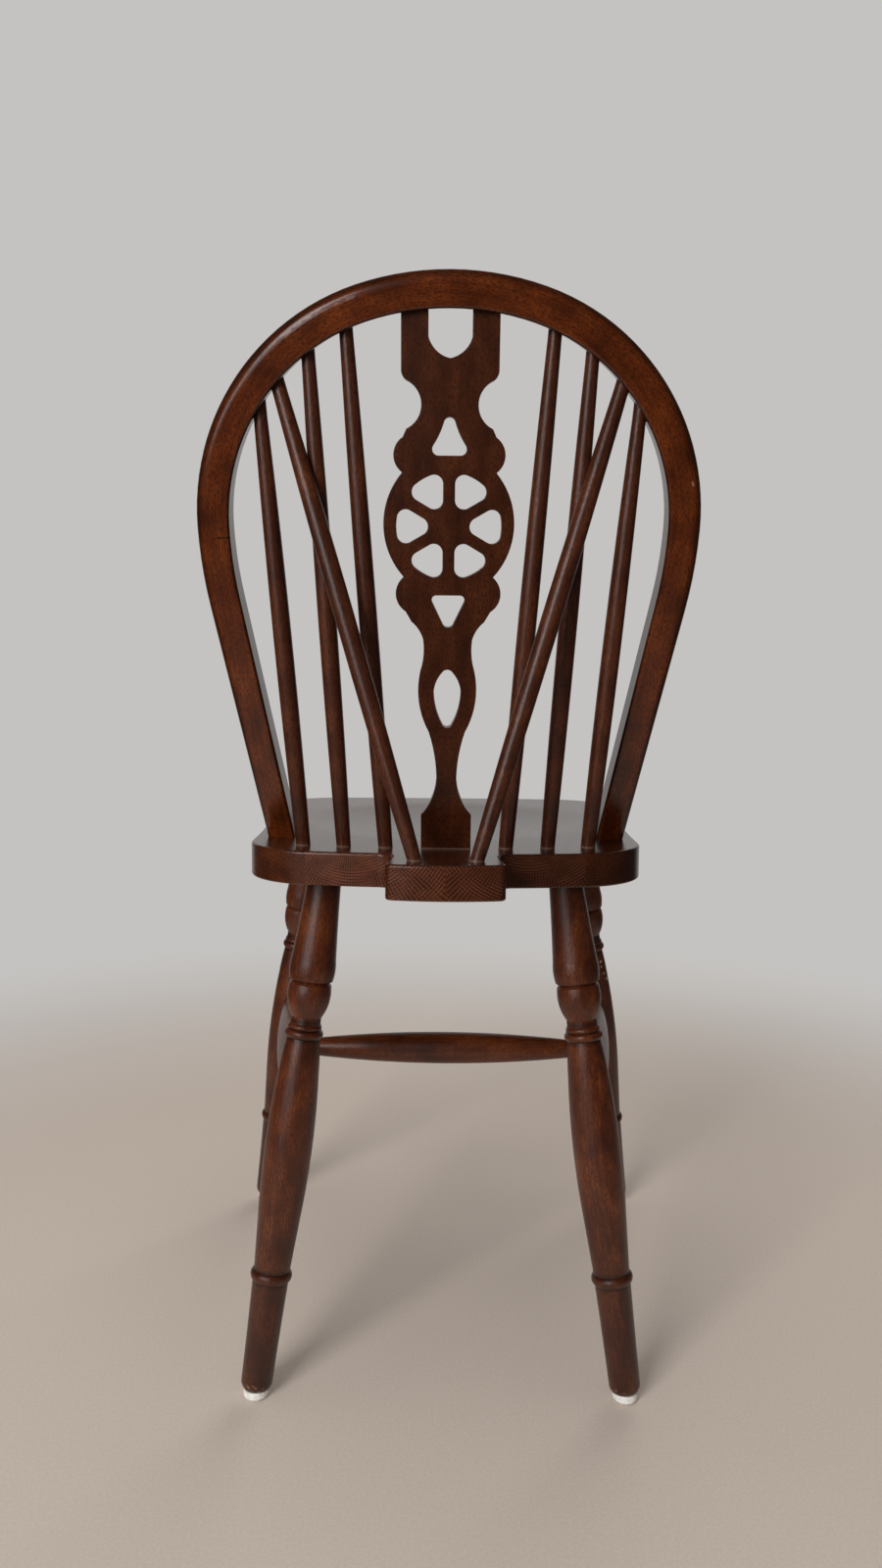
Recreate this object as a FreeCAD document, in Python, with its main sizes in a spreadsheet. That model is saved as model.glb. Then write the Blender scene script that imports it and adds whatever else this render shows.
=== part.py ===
import FreeCAD, Part
import math
import os

import Sketcher

os.makedirs("parts", exist_ok=True)

# Wheelback dining chair in turned, sawn and bent beech.
# The chair faces -Y and +Z is up. The origin is on the floor,
# in the middle of the chair's length and width.
# "in" sizes run forward from the middle of the seat's rear edge,
# "out" sizes run sideways from the middle of the chair.

doc = FreeCAD.newDocument("wheelback_chair")
sheet = doc.addObject("Spreadsheet::Sheet", "Sizes")
V = FreeCAD.Vector
row_count = [0]
pieces = {}
HAIR = 0.01  # a distance too small to see, for telling edges apart


def note(word, number):
    """Writes one size into the sheet under its alias."""
    row_count[0] += 1
    cell = "B%d" % row_count[0]
    sheet.set("A%d" % row_count[0], word)
    sheet.set(cell, "%.4f" % number)
    sheet.setAlias(cell, word)
    doc.recompute([sheet])


def note_all(group):
    """Writes a group of sizes into the sheet."""
    for word, number in group.items():
        note(word, number)


def amount(words):
    """The number that a sum such as "seat_top - seat_thick" comes to."""
    total = 0.0
    sign = 1
    for word in words.split():
        if word == "+":
            sign = 1
        elif word == "-":
            sign = -1
        elif word[0].isalpha():
            total += sign * float(sheet.get(word))
        else:
            total += sign * float(word)
    return total


def formula(words):
    """The same sum as an expression on the sheet's cells."""
    return " ".join("Sizes." + w if w[0].isalpha() else w for w in words.split())


def pin(sketch, geometry, place, x, y):
    """Holds one sketch point at the coordinates given by two sums."""
    for kind, words in (("DistanceX", x), ("DistanceY", y)):
        number = sketch.addConstraint(
            Sketcher.Constraint(kind, geometry, place, amount(words)))
        sketch.setExpression("Constraints[%d]" % number, formula(words))


def outline(sketch, corners, arcs):
    """A closed outline through the corners; arcs gives a point on the way for each round stretch."""
    where = [V(amount(x), amount(y), 0) for x, y in corners]
    ends = []
    for i, here in enumerate(where):
        there = where[(i + 1) % len(where)]
        if i in arcs:
            via = V(amount(arcs[i][0]), amount(arcs[i][1]), 0)
            number = sketch.addGeometry(Part.Arc(here, via, there), False)
            first = 1 if sketch.getPoint(number, 1).distanceToPoint(here) < HAIR else 2
            marker = sketch.addGeometry(Part.Point(via), True)
            pin(sketch, marker, 1, *arcs[i])
            sketch.addConstraint(
                Sketcher.Constraint("PointOnObject", marker, 1, number))
        else:
            number = sketch.addGeometry(Part.LineSegment(here, there), False)
            first = 1
        ends.append((number, first, 3 - first))
        pin(sketch, number, first, *corners[i])
    for i, (number, first, last) in enumerate(ends):
        after, after_first = ends[(i + 1) % len(ends)][:2]
        sketch.addConstraint(
            Sketcher.Constraint("Coincident", number, last, after, after_first))


def new_sketch(body, name, role):
    """A sketch on one of the body's own origin planes."""
    sketch = body.newObject("Sketcher::SketchObject", name)
    plane = [f for f in body.Origin.OriginFeatures if f.Role == role][0]
    sketch.AttachmentSupport = [(plane, "")]
    sketch.MapMode = "FlatFace"
    return sketch


def turned(name, corners, arcs):
    """A body turned about its own Z axis from half of its profile."""
    body = doc.addObject("PartDesign::Body", name)
    sketch = new_sketch(body, name + "_profile", "XZ_Plane")
    outline(sketch, corners, arcs)
    turn = body.newObject("PartDesign::Revolution", name + "_turning")
    turn.Profile = sketch
    turn.ReferenceAxis = (sketch, ["V_Axis"])
    turn.Angle = 360
    doc.recompute()
    return body


def mirrored(body, features):
    """Adds the other half of a body across its YZ plane."""
    mirror = body.newObject("PartDesign::Mirrored", body.Name + "_mirror")
    mirror.Originals = features
    plane = [f for f in body.Origin.OriginFeatures if f.Role == "YZ_Plane"][0]
    mirror.MirrorPlane = (plane, [""])
    mirror.Refine = True
    body.Tip = mirror
    doc.recompute()
    return mirror


def rounded(body, base, edges, size):
    """Rounds the named edges of a feature with a radius from the sheet."""
    fillet = body.newObject("PartDesign::Fillet", body.Name + "_" + size)
    fillet.Base = (base, edges)
    fillet.Radius = amount(size)
    fillet.setExpression("Radius", formula(size))
    body.Tip = fillet
    doc.recompute()
    return fillet


def edges_where(shape, test):
    """Names of the edges whose middle and ends all pass the test."""
    names = []
    for i, edge in enumerate(shape.Edges, 1):
        middle = edge.valueAt((edge.FirstParameter + edge.LastParameter) / 2)
        points = [middle] + [vertex.Point for vertex in edge.Vertexes]
        if all(test(p) for p in points):
            names.append("Edge%d" % i)
    return names


def move_to(item, base, rotation):
    """Puts an object at a base point given by three sums, with a rotation."""
    item.Placement = FreeCAD.Placement(V(*[amount(w) for w in base]), rotation)
    for axis, words in zip("xyz", base):
        item.setExpression("Placement.Base." + axis, formula(words))


def along(direction):
    """The rotation that turns +Z to a direction."""
    return FreeCAD.Rotation(V(0, 0, 1), direction)


def rod(name, start, direction, radius, length):
    """A round cutter or pin that starts at a point and runs along a direction."""
    cylinder = doc.addObject("Part::Cylinder", name)
    cylinder.setExpression("Radius", formula(radius))
    cylinder.setExpression("Height", formula(length))
    cylinder.Placement = FreeCAD.Placement(start, along(direction))
    return cylinder


def block(name, size, base, rotation):
    """A square-cornered cutter; size and base are sums."""
    box = doc.addObject("Part::Box", name)
    for side, words in zip(("Length", "Width", "Height"), size):
        box.setExpression(side, formula(words))
    move_to(box, base, rotation)
    return box


def joined(name, items):
    """Several objects as one."""
    fuse = doc.addObject("Part::MultiFuse", name)
    fuse.Shapes = items
    doc.recompute()
    return fuse


def cut(name, base, tool):
    """One object less another."""
    result = doc.addObject("Part::Cut", name)
    result.Base = base
    result.Tool = tool
    doc.recompute()
    return result


def keep(label, item):
    """Names a finished piece."""
    item.Label = label
    pieces[label] = item


# General sizes and clearances
note_all({
    "rear_edge": 170.75,
    "seat_top": 445.0,
    "seat_thick": 25.5,
    "fit": 0.1,
    "zero": 0.0,
})

# Legs: turned, all four to one pattern, leaning outward and fore or aft
note_all({
    "rear_foot_out": 148.7,
    "rear_foot_in": 35.4,
    "rear_splay": 0.127,
    "rear_rake": 0.094,
    "front_foot_out": 192.4,
    "front_foot_in": 379.4,
    "front_splay": 0.131,
    "front_rake": 0.073,
    "leg_end_half": 7.5,
    "leg_end_at": 5.5,
    "leg_end_via_half": 10.8,
    "leg_end_via_at": 8.0,
    "leg_foot_half": 12.5,
    "leg_foot_at": 13.0,
    "leg_ankle_half": 13.2,
    "leg_ankle_at": 52.0,
    "leg_low_half": 14.4,
    "leg_low_at": 94.3,
    "leg_ring_half": 16.6,
    "leg_ring_at": 98.7,
    "leg_high_at": 103.1,
    "leg_calf_half": 17.4,
    "leg_calf_at": 152.0,
    "leg_swell_half": 19.0,
    "leg_swell_at": 197.0,
    "leg_knee_half": 16.4,
    "leg_knee_at": 260.0,
    "leg_thin_half": 15.1,
    "leg_thin_at": 276.0,
    "leg_neck_half": 13.2,
    "leg_neck_at": 290.0,
    "leg_bead_half": 15.5,
    "leg_bead_at": 293.6,
    "leg_step_half": 13.1,
    "leg_step_at": 297.2,
    "leg_little_half": 13.6,
    "leg_little_at": 299.3,
    "leg_stem_half": 12.3,
    "leg_stem_at": 301.4,
    "leg_cup_half": 12.2,
    "leg_cup_at": 307.0,
    "leg_ball_half": 17.4,
    "leg_ball_at": 323.5,
    "leg_lip_half": 16.8,
    "leg_lip_at": 333.3,
    "leg_groove_half": 15.2,
    "leg_groove_at": 335.2,
    "leg_brow_half": 17.5,
    "leg_brow_at": 337.0,
    "leg_bulge_half": 18.5,
    "leg_bulge_at": 345.0,
    "leg_shoulder_half": 17.8,
    "leg_shoulder_at": 354.0,
    "leg_taper_half": 15.4,
    "leg_taper_at": 385.0,
    "leg_top_half": 13.4,
    "leg_top_at": 418.0,
    "leg_tenon_at": 441.5,
})

# Stretchers between the legs
note_all({
    "stretcher_up": 228.7,
    "stretcher_end_half": 7.8,
    "stretcher_mid_half": 14.0,
    "stretcher_start": 4.0,
    "stretcher_straight": 21.0,
    "cross_mid_half": 14.4,
    "cross_end_half": 7.4,
    "cross_start": 4.0,
    "cross_straight": 16.0,
})

# Plastic glides and their nails
note_all({
    "glide_half": 10.0,
    "glide_thick": 7.5,
    "glide_round": 2.5,
    "nail_half": 0.9,
    "nail_head_half": 3.2,
    "nail_head_thick": 0.9,
    "nail_floor_gap": 1.6,
    "nail_long": 17.0,
    "nail_fit": 0.03,
})

# Seat outline, drawn for one half, and its shallow dish
note_all({
    "dish_in": 205.0,
    "dish_half": 140.0,
    "dish_bowl_half": 110.0,
    "dish_deep": 5.0,
    "seat_front_in": 378.0,
    "seat_front_bend": 2300.0,
    "seat_toe_bend": 60.0,
    "seat_side_bend": 2000.0,
    "seat_waist_out": 152.6,
    "seat_waist_in": 60.0,
    "seat_heel_bend": 60.0,
    "seat_back_bend": 610.0,
    "tail_neck_half": 39.0,
    "tail_half": 42.1,
    "tail_fillet": 12.0,
    "tail_corner": 6.0,
    "tail_back_bend": 190.0,
    "tail_end_in": -50.0,
    "seat_top_round": 2.0,
    "seat_under_round": 1.5,
    "board_joint_out": 104.0,
    "board_reach": 300.0,
})

# Bow: one bent hoop, leaning back
note_all({
    "bow_lean": 18.0,
    "bow_foot_in": 79.0,
    "bow_deep": 23.0,
    "bow_face": 24.0,
    "bow_foot_face": 22.6,
    "bow_half": 180.9,
    "bow_widest_up": 246.0,
    "bow_high": 415.4,
    "bow_shoulder_bend": 167.3,
    "bow_flank_bend": 345.0,
    "bow_leg_splay": 9.83,
    "bow_below": 8.0,
    "bow_outer_round": 8.0,
    "bow_inner_round": 2.5,
    "bow_tenon_half": 7.5,
    "bow_tenon_below": 19.0,
    "bow_tenon_above": 12.0,
})

# Spindles and braces: round sticks, thickest half way up
note_all({
    "stick_fit_run": 8.0,
    "stick_seat_tenon": 14.0,
    "stick_bow_tenon": 13.0,
    "stick_foot_half": 5.5,
    "stick_mid_half": 6.7,
    "stick_top_half": 4.8,
    "brace_foot_half": 5.1,
    "brace_mid_half": 7.0,
    "brace_top_half": 5.2,
    "inner_foot_out": 45.5,
    "inner_foot_in": 30.5,
    "inner_top_out": 71.0,
    "inner_top_up": 380.0,
    "middle_foot_out": 77.5,
    "middle_foot_in": 34.0,
    "middle_top_out": 97.2,
    "middle_top_up": 364.5,
    "outer_foot_out": 108.9,
    "outer_foot_in": 39.5,
    "outer_top_out": 132.2,
    "outer_top_up": 328.0,
    "brace_foot_out": 22.0,
    "brace_foot_in": -29.5,
    "brace_top_out": 119.0,
    "brace_top_up": 343.5,
})

# Splat: a sawn board with a pierced wheel
note_all({
    "splat_lean": 8.9,
    "splat_in": 23.0,
    "splat_thick": 9.0,
    "splat_foot_half": 18.7,
    "splat_foot_below": 12.0,
    "splat_foot_up": 27.0,
    "splat_flare_half": 10.8,
    "splat_flare_up": 39.4,
    "splat_neck_half": 7.4,
    "splat_neck_up": 56.0,
    "splat_rise_half": 8.9,
    "splat_rise_up": 72.0,
    "splat_hip_half": 13.3,
    "splat_hip_up": 90.0,
    "splat_swell_half": 21.1,
    "splat_swell_up": 120.5,
    "splat_fall_half": 19.6,
    "splat_fall_up": 134.5,
    "splat_waist_half": 17.15,
    "splat_waist_up": 148.5,
    "splat_throat_half": 17.6,
    "splat_throat_up": 157.5,
    "splat_throat_via_half": 20.8,
    "splat_throat_via_up": 164.5,
    "splat_flute_half": 26.0,
    "splat_flute_up": 170.2,
    "splat_nick_half": 30.2,
    "splat_nick_up": 177.4,
    "splat_lobe_half": 37.2,
    "splat_lobe_up": 189.2,
    "splat_cusp_half": 31.6,
    "splat_cusp_up": 201.7,
    "wheel_up": 236.6,
    "wheel_half": 45.8,
    "wheel_spokes": 6,
    "splat_high_cusp_half": 32.8,
    "splat_high_cusp_up": 273.0,
    "splat_high_lobe_half": 38.7,
    "splat_high_lobe_up": 285.6,
    "splat_high_nick_half": 32.3,
    "splat_high_nick_up": 296.6,
    "splat_sweep_half": 29.8,
    "splat_sweep_up": 302.0,
    "splat_high_waist_half": 19.7,
    "splat_high_waist_up": 319.5,
    "splat_ear_half": 28.0,
    "splat_ear_up": 332.6,
    "splat_ear_via_half": 32.0,
    "splat_ear_via_up": 335.6,
    "splat_prong_half": 33.4,
    "splat_prong_up": 341.0,
    "splat_top_up": 385.0,
    "splat_gap_half": 14.9,
    "splat_gap_up": 361.5,
    "splat_gap_via_half": 9.6,
    "splat_gap_via_up": 352.6,
    "splat_gap_tip_up": 347.7,
    "spoke_half": 4.2,
    "opening_reach": 36.9,
    "opening_round": 6.2,
})

# The splat's upper hole, a triangle on its base, from its base upward
note_all({
    "upper_hole_up": 284.4,
    "upper_flat_half": 7.5,
    "upper_corner_half": 11.2,
    "upper_corner_high": 6.8,
    "upper_corner_via_half": 11.5,
    "upper_corner_via_high": 2.5,
    "upper_side_half": 3.7,
    "upper_side_high": 22.8,
    "upper_side_via_half": 7.05,
    "upper_side_via_high": 14.0,
    "upper_tip_via_half": 2.8,
    "upper_tip_via_high": 24.15,
    "upper_tip_high": 25.3,
})

# Its lower hole, a triangle on its point, from its top edge downward
note_all({
    "lower_hole_up": 188.9,
    "lower_flat_half": 8.4,
    "lower_corner_half": 11.3,
    "lower_corner_deep": 4.6,
    "lower_corner_via_half": 11.1,
    "lower_corner_via_deep": 1.45,
    "lower_side_half": 3.6,
    "lower_side_deep": 20.5,
    "lower_tip_via_half": 2.3,
    "lower_tip_via_deep": 22.0,
    "lower_tip_deep": 22.7,
})

# Its drop-shaped hole, from its top downward
note_all({
    "drop_top_up": 135.8,
    "drop_crest_half": 3.5,
    "drop_crest_deep": 1.75,
    "drop_crest_via_half": 1.97,
    "drop_crest_via_deep": 0.47,
    "drop_half": 9.75,
    "drop_widest_deep": 15.6,
    "drop_high_via_half": 8.0,
    "drop_high_via_deep": 8.8,
    "drop_low_half": 3.2,
    "drop_low_deep": 40.7,
    "drop_low_via_half": 8.3,
    "drop_low_via_deep": 27.5,
    "drop_tip_via_half": 1.9,
    "drop_tip_via_deep": 42.15,
    "drop_tip_deep": 42.7,
})


# Turned legs

leg_corners = [
    ("zero", "leg_end_at"),
    ("leg_end_half", "leg_end_at"),
    ("leg_foot_half", "leg_foot_at"),
    ("leg_low_half", "leg_low_at"),
    ("leg_low_half", "leg_high_at"),
    ("leg_calf_half", "leg_calf_at"),
    ("leg_knee_half", "leg_knee_at"),
    ("leg_neck_half", "leg_neck_at"),
    ("leg_step_half", "leg_step_at"),
    ("leg_stem_half", "leg_stem_at"),
    ("leg_cup_half", "leg_cup_at"),
    ("leg_lip_half", "leg_lip_at"),
    ("leg_groove_half", "leg_groove_at"),
    ("leg_brow_half", "leg_brow_at"),
    ("leg_shoulder_half", "leg_shoulder_at"),
    ("leg_top_half", "leg_top_at"),
    ("leg_top_half", "leg_tenon_at"),
    ("zero", "leg_tenon_at"),
]
leg_arcs = {
    1: ("leg_end_via_half", "leg_end_via_at"),
    2: ("leg_ankle_half", "leg_ankle_at"),
    3: ("leg_ring_half", "leg_ring_at"),
    5: ("leg_swell_half", "leg_swell_at"),
    6: ("leg_thin_half", "leg_thin_at"),
    7: ("leg_bead_half", "leg_bead_at"),
    8: ("leg_little_half", "leg_little_at"),
    10: ("leg_ball_half", "leg_ball_at"),
    13: ("leg_bulge_half", "leg_bulge_at"),
    14: ("leg_taper_half", "leg_taper_at"),
}


def leg_line(end, side):
    """The floor point and upward direction of one leg's axis."""
    rake = amount(end + "_rake")
    forward = -rake if end == "rear" else rake
    foot = V(side * amount(end + "_foot_out"), amount("rear_edge - %s_foot_in" % end), 0)
    return foot, V(-side * amount(end + "_splay"), forward, 1)


def leg_point(end, side, height):
    """The point of a leg's axis at a height above the floor."""
    foot, up = leg_line(end, side)
    return foot + up * height


SIDES = (("left", 1), ("right", -1))
ENDS = ("rear", "front")
stretcher_height = amount("stretcher_up")
side_lines = {}
for side_name, side in SIDES:
    rear = leg_point("rear", side, stretcher_height)
    front = leg_point("front", side, stretcher_height)
    side_lines[side_name] = (rear, front - rear)
span = side_lines["left"][1].Length
note("stretcher_span", span)
note("stretcher_half_span", span / 2)
note("stretcher_far_straight", span - amount("stretcher_straight"))
note("stretcher_far_end", span - amount("stretcher_start"))

seat_sockets = []
for end in ENDS:
    for side_name, side in SIDES:
        name = "leg_%s_%s" % (end, side_name)
        foot, up = leg_line(end, side)
        blank = turned(name + "_blank", leg_corners, leg_arcs)
        sign = "" if side == 1 else "- "
        move_to(blank, (sign + end + "_foot_out", "rear_edge - " + end + "_foot_in", "zero"), along(up))

        rear, run = side_lines[side_name]
        start = rear if end == "rear" else rear + run
        inward = run * (1 if end == "rear" else -1)
        inward.normalize()
        mortise = rod(name + "_mortise", start + inward * amount("stretcher_start - fit"),
                      inward, "stretcher_end_half + fit", "stretcher_straight + stretcher_straight")
        glide_top = leg_point(end, side, amount("glide_thick"))
        below = V(glide_top.x, glide_top.y, -amount("glide_thick"))
        levelling = rod(name + "_levelling", below, V(0, 0, 1),
                        "board_joint_out", "glide_thick + glide_thick")
        nail_hole = rod(name + "_nail_hole", V(glide_top.x, glide_top.y, 0), V(0, 0, 1),
                        "nail_half + nail_fit", "nail_floor_gap + nail_long + fit")
        cutters = joined(name + "_cutters", [mortise, levelling, nail_hole])
        keep(name, cut(name, blank, cutters))

        up.normalize()
        socket_start = foot + up * amount("leg_top_at - glide_thick")
        seat_sockets.append(rod(name + "_socket", socket_start, up, "leg_top_half + fit",
                                "leg_tenon_at - leg_top_at + glide_thick + fit"))


# Stretchers

for side_name, side in SIDES:
    name = "side_stretcher_" + side_name
    start, run = side_lines[side_name]
    blank = turned(
        name + "_blank",
        [("zero", "stretcher_start"),
         ("stretcher_end_half", "stretcher_start"),
         ("stretcher_end_half", "stretcher_straight"),
         ("stretcher_end_half", "stretcher_far_straight"),
         ("stretcher_end_half", "stretcher_far_end"),
         ("zero", "stretcher_far_end")],
        {2: ("stretcher_mid_half", "stretcher_half_span")})
    blank.Placement = FreeCAD.Placement(start, along(run))
    middle = start + run * 0.5
    inward = V(-side, 0, 0)
    mortise = rod(name + "_mortise", middle + inward * amount("cross_start - fit"), inward,
                  "cross_end_half + fit", "cross_straight + cross_straight")
    keep(name, cut(name, blank, mortise))

cross_middle = side_lines["left"][0] + side_lines["left"][1] * 0.5
cross_span = 2 * cross_middle.x
note("cross_half_span", cross_span / 2)
note("cross_far_straight", cross_span - amount("cross_straight"))
note("cross_far_end", cross_span - amount("cross_start"))
cross = turned(
    "cross_stretcher",
    [("zero", "cross_start"),
     ("cross_end_half", "cross_start"),
     ("cross_end_half", "cross_straight"),
     ("cross_end_half", "cross_far_straight"),
     ("cross_end_half", "cross_far_end"),
     ("zero", "cross_far_end")],
    {2: ("cross_mid_half", "cross_half_span")})
cross.Placement = FreeCAD.Placement(V(-cross_middle.x, cross_middle.y, cross_middle.z), along(V(1, 0, 0)))
keep("cross_stretcher", cross)


# Glides and nails

nail_list = []
for end in ENDS:
    for side_name, side in SIDES:
        name = "glide_%s_%s" % (end, side_name)
        top = leg_point(end, side, amount("glide_thick"))
        note(name + "_out", top.x)
        note(name + "_back", top.y)
        base = (name + "_out", name + "_back", "zero")
        disc = doc.addObject("PartDesign::Body", name + "_disc")
        sketch = new_sketch(disc, name + "_round", "XY_Plane")
        ring = sketch.addGeometry(Part.Circle(V(0, 0, 0), V(0, 0, 1), amount("glide_half")), False)
        sketch.addConstraint(Sketcher.Constraint("Coincident", ring, 3, -1, 1))
        size = sketch.addConstraint(Sketcher.Constraint("Radius", ring, amount("glide_half")))
        sketch.setExpression("Constraints[%d]" % size, formula("glide_half"))
        pad = disc.newObject("PartDesign::Pad", name + "_pad")
        pad.Profile = sketch
        pad.setExpression("Length", formula("glide_thick"))
        doc.recompute()
        rounded(disc, pad, edges_where(pad.Shape, lambda p: p.z < HAIR), "glide_round")
        move_to(disc, base, FreeCAD.Rotation())

        shank = rod(name + "_shank", V(top.x, top.y, amount("nail_floor_gap")), V(0, 0, 1),
                    "nail_half", "nail_long")
        head = rod(name + "_head", V(top.x, top.y, amount("nail_floor_gap")), V(0, 0, 1),
                   "nail_head_half", "nail_head_thick")
        nail_list.append(joined(name + "_nail", [shank, head]))

        shank_hole = rod(name + "_shank_hole", V(top.x, top.y, amount("nail_floor_gap")), V(0, 0, 1),
                         "nail_half + nail_fit", "nail_long")
        head_hole = rod(name + "_head_hole",
                        V(top.x, top.y, amount("nail_floor_gap - nail_fit")), V(0, 0, 1),
                        "nail_head_half + nail_fit", "nail_head_thick + nail_fit + nail_fit")
        keep(name, cut(name, disc, joined(name + "_hollow", [shank_hole, head_hole])))

nails = doc.addObject("Part::Compound", "glide_nails")
nails.Links = nail_list
keep("glide_nails", nails)


# Bow: half of the hoop is drawn flat, padded and mirrored, then leaned back

lean = math.radians(amount("bow_lean"))
bow_up = V(0, math.sin(lean), math.cos(lean))
bow_front = V(0, -math.cos(lean), math.sin(lean))
bow_turn = FreeCAD.Rotation(V(1, 0, 0), 90 - amount("bow_lean"))


def bow_point(out, up, forward):
    """A place on the hoop: sideways, up along its slope, and forward from its back face."""
    foot = V(0, amount("rear_edge - bow_foot_in"), amount("seat_top"))
    return foot + V(out, 0, 0) + bow_up * up + bow_front * forward


def bow_edge(tag, inset):
    """Notes the tangent points of the hoop's edge, moved in from its outer edge by inset."""
    half = amount("bow_half")
    widest = amount("bow_widest_up")
    crown = amount("bow_high") - widest
    shoulder = amount("bow_shoulder_bend")
    flank = amount("bow_flank_bend")
    slope = math.radians(amount("bow_leg_splay"))
    side_centre = half - shoulder
    top_bend = (side_centre ** 2 + crown ** 2 - shoulder ** 2) / (2 * (crown - shoulder))
    top_centre = widest + crown - top_bend
    turn = math.atan2(widest - top_centre, side_centre)
    marks = {
        "flank": (half - flank + (flank - inset) * math.cos(slope),
                  widest - (flank - inset) * math.sin(slope)),
        "flank_via": (half - flank + (flank - inset) * math.cos(slope / 2),
                      widest - (flank - inset) * math.sin(slope / 2)),
        "side": (half - inset, widest),
        "side_via": (side_centre + (shoulder - inset) * math.cos(turn / 2),
                     widest + (shoulder - inset) * math.sin(turn / 2)),
        "joint": (side_centre + (shoulder - inset) * math.cos(turn),
                  widest + (shoulder - inset) * math.sin(turn)),
        "crown_via": ((top_bend - inset) * math.cos((turn + math.pi / 2) / 2),
                      top_centre + (top_bend - inset) * math.sin((turn + math.pi / 2) / 2)),
        "crown": (0.0, top_centre + top_bend - inset),
    }
    for mark, (out, up) in marks.items():
        note("bow_%s_%s_out" % (tag, mark), out)
        note("bow_%s_%s_up" % (tag, mark), up)
    return marks


def bow_mark(tag, mark):
    """The pair of size names of one noted point."""
    return "bow_%s_%s_out" % (tag, mark), "bow_%s_%s_up" % (tag, mark)


outer_marks = bow_edge("outer", 0.0)
bow_edge("inner", amount("bow_face"))
drop = outer_marks["flank"][1] + amount("bow_below")
foot_half = outer_marks["flank"][0] - drop * math.tan(math.radians(amount("bow_leg_splay")))
note("bow_outer_foot", foot_half)
note("bow_inner_foot", foot_half - amount("bow_foot_face"))

bow_body = doc.addObject("PartDesign::Body", "bow_blank")
bow_sketch = new_sketch(bow_body, "bow_outline", "XY_Plane")
outline(
    bow_sketch,
    [("bow_outer_foot", "zero - bow_below"),
     bow_mark("outer", "flank"),
     bow_mark("outer", "side"),
     bow_mark("outer", "joint"),
     bow_mark("outer", "crown"),
     bow_mark("inner", "crown"),
     bow_mark("inner", "joint"),
     bow_mark("inner", "side"),
     bow_mark("inner", "flank"),
     ("bow_inner_foot", "zero - bow_below")],
    {1: bow_mark("outer", "flank_via"),
     2: bow_mark("outer", "side_via"),
     3: bow_mark("outer", "crown_via"),
     5: bow_mark("inner", "crown_via"),
     6: bow_mark("inner", "side_via"),
     7: bow_mark("inner", "flank_via")})
bow_pad = bow_body.newObject("PartDesign::Pad", "bow_pad")
bow_pad.Profile = bow_sketch
bow_pad.setExpression("Length", formula("bow_deep"))
doc.recompute()
bow_whole = mirrored(bow_body, [bow_pad])


def hoop_radius(p):
    """How far a point of the hoop lies outside its middle line, roughly."""
    middle_half = amount("bow_half") - amount("bow_face") / 2
    up = p.y - amount("bow_widest_up")
    if up > 0:
        return math.hypot(p.x, up * middle_half / (amount("bow_high") - amount("bow_face") / 2
                                                    - amount("bow_widest_up"))) - middle_half
    low_half = amount("bow_outer_foot") - amount("bow_foot_face") / 2
    share = -up / (amount("bow_widest_up") + amount("bow_below"))
    return abs(p.x) - (middle_half + (low_half - middle_half) * share)


def on_face(p):
    """Whether a point lies on the hoop's front or back face."""
    return min(abs(p.z), abs(p.z - amount("bow_deep"))) < HAIR


outer_edges = edges_where(bow_whole.Shape, lambda p: on_face(p) and hoop_radius(p) > 0)
bow_outer = rounded(bow_body, bow_whole, outer_edges, "bow_outer_round")
inner_quarter = -amount("bow_face") / 4
inner_edges = edges_where(bow_outer.Shape, lambda p: on_face(p) and hoop_radius(p) < inner_quarter)
rounded(bow_body, bow_outer, inner_edges, "bow_inner_round")
move_to(bow_body, ("zero", "rear_edge - bow_foot_in", "seat_top"), bow_turn)

seat_level = block("bow_levelling",
                   ("board_reach + board_reach", "board_reach + board_reach", "seat_thick"),
                   ("zero - board_reach", "zero - board_reach", "seat_top - seat_thick"),
                   FreeCAD.Rotation())
bow_level = cut("bow_levelled", bow_body, seat_level)

splay = math.radians(amount("bow_leg_splay"))
foot_middle = amount("bow_outer_foot") - amount("bow_foot_face") / 2 + amount("bow_below") * math.tan(splay)
bow_tenons = []
for side_name, side in SIDES:
    upward = V(side * math.sin(splay), 0, 0) + bow_up * math.cos(splay)
    centre = bow_point(side * foot_middle, 0, amount("bow_deep") / 2)
    bow_tenons.append(rod("bow_tenon_" + side_name,
                          centre - upward * amount("bow_tenon_below"), upward,
                          "bow_tenon_half", "bow_tenon_below + bow_tenon_above"))
    seat_sockets.append(rod("bow_socket_" + side_name,
                            centre - upward * amount("bow_tenon_below + fit"), upward,
                            "bow_tenon_half + fit", "bow_tenon_below + bow_tenon_above"))
bow_solid = joined("bow_with_tenons", [bow_level] + bow_tenons)


# Round sticks of the back

note("stick_run_start", -amount("stick_seat_tenon"))
bow_holes = []


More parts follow.
